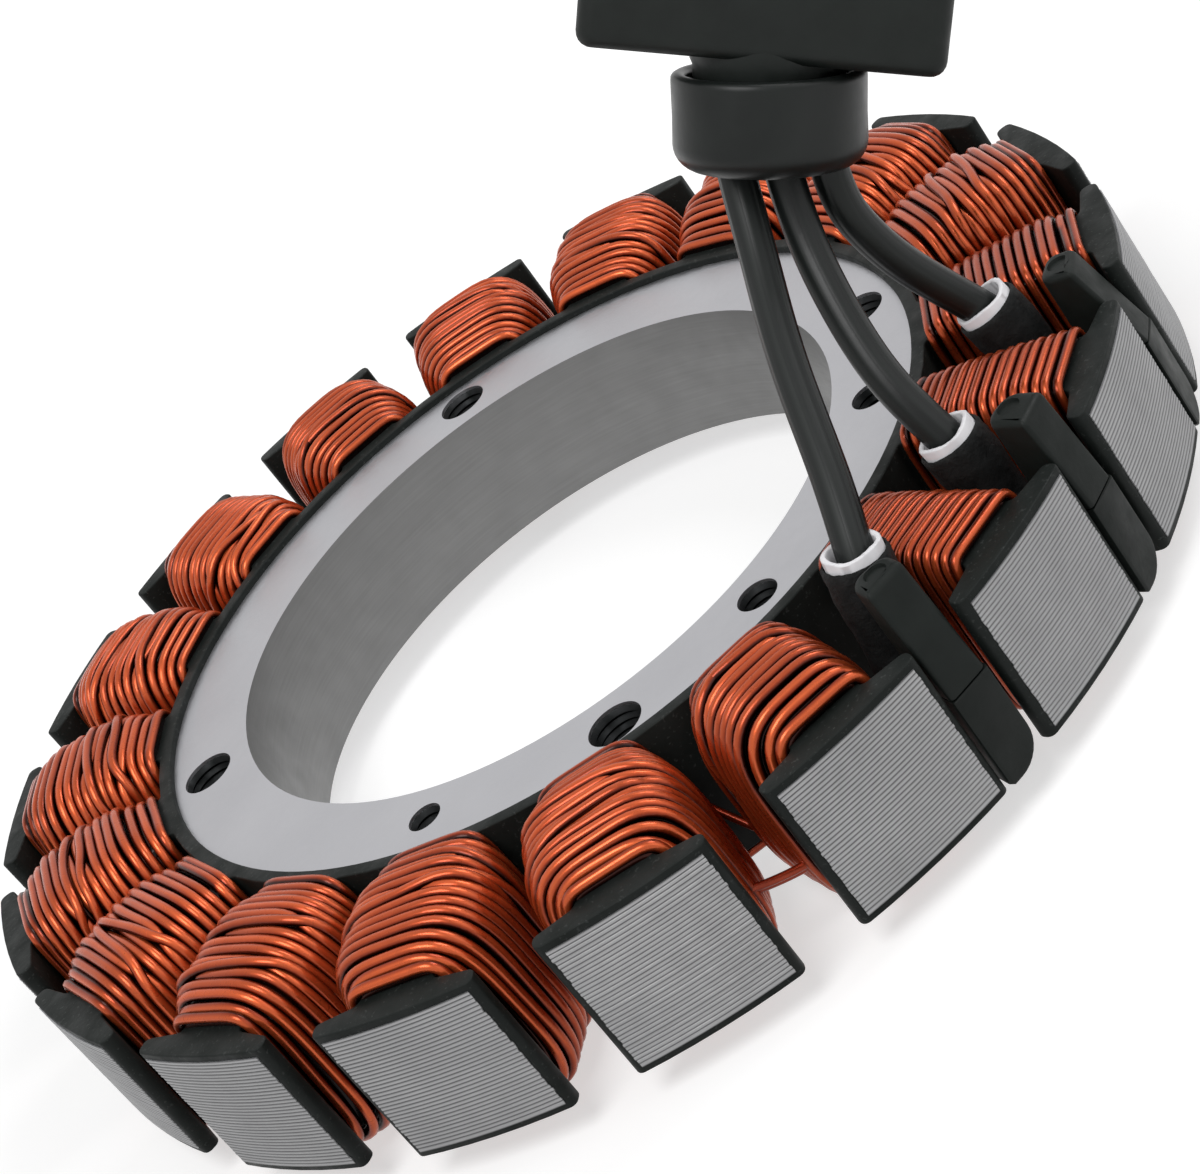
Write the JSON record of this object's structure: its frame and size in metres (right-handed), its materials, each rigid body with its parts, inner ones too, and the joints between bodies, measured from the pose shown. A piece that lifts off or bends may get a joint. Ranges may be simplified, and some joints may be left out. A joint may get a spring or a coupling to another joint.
{
  "type": "wound stator",
  "caption": "Ring-shaped wound stator with coated laminated steel teeth, copper coils and short output leads that end in a black plug.",
  "frame": {"origin": "under the middle of the bore, at the level of the rear coil domes that the part rests on", "axes": "+Z along the bore axis towards the lead side, -Y towards the middle lead's slot"},
  "size_m": [0.125, 0.1249, 0.0687],
  "materials": {
    "core_steel": "ground, satin",
    "coat_black": "baked coat, matt, slightly speckled",
    "enamelled_copper": "enamelled wire, glossy",
    "moulding_black": "moulded, satin",
    "sleeve_black": "rough varnished sleeving",
    "sleeve_white": "matt sleeving",
    "lead_rubber": "satin",
    "tinned_metal": "tinned",
    "contact_brass": "bright"
  },
  "bodies": {
    "root": {"lamination_stack": "core_steel", "epoxy_coat": "coat_black", "coil_01": "enamelled_copper", "coil_02": "enamelled_copper", "coil_03": "enamelled_copper", "coil_04": "enamelled_copper", "coil_05": "enamelled_copper", "coil_06": "enamelled_copper", "coil_07": "enamelled_copper", "coil_08": "enamelled_copper", "coil_09": "enamelled_copper", "coil_10": "enamelled_copper", "coil_11": "enamelled_copper", "coil_12": "enamelled_copper", "coil_13": "enamelled_copper", "coil_14": "enamelled_copper", "coil_15": "enamelled_copper", "coil_16": "enamelled_copper", "coil_17": "enamelled_copper", "coil_18": "enamelled_copper", "terminal_post_1": "moulding_black", "terminal_post_2": "moulding_black", "terminal_post_3": "moulding_black", "slot_block_1": "moulding_black", "slot_block_2": "moulding_black", "slot_block_3": "moulding_black", "splice_sleeve_1": "sleeve_black", "splice_sleeve_2": "sleeve_black", "splice_sleeve_3": "sleeve_black", "inner_sleeve_1": "sleeve_white", "inner_sleeve_2": "sleeve_white", "inner_sleeve_3": "sleeve_white", "crimp_splice_1": "tinned_metal", "crimp_splice_2": "tinned_metal", "crimp_splice_3": "tinned_metal", "lead_1": "lead_rubber", "lead_2": "lead_rubber", "lead_3": "lead_rubber", "seal_collar": "lead_rubber", "connector_body": "moulding_black", "contact_pin_1": "contact_brass", "contact_pin_2": "contact_brass", "contact_pin_3": "contact_brass", "coil_tail_1": "enamelled_copper", "coil_tail_2": "enamelled_copper", "coil_tail_3": "enamelled_copper", "phase_link_1": "enamelled_copper", "phase_link_2": "enamelled_copper", "phase_link_3": "enamelled_copper"}
  },
  "joints": []
}
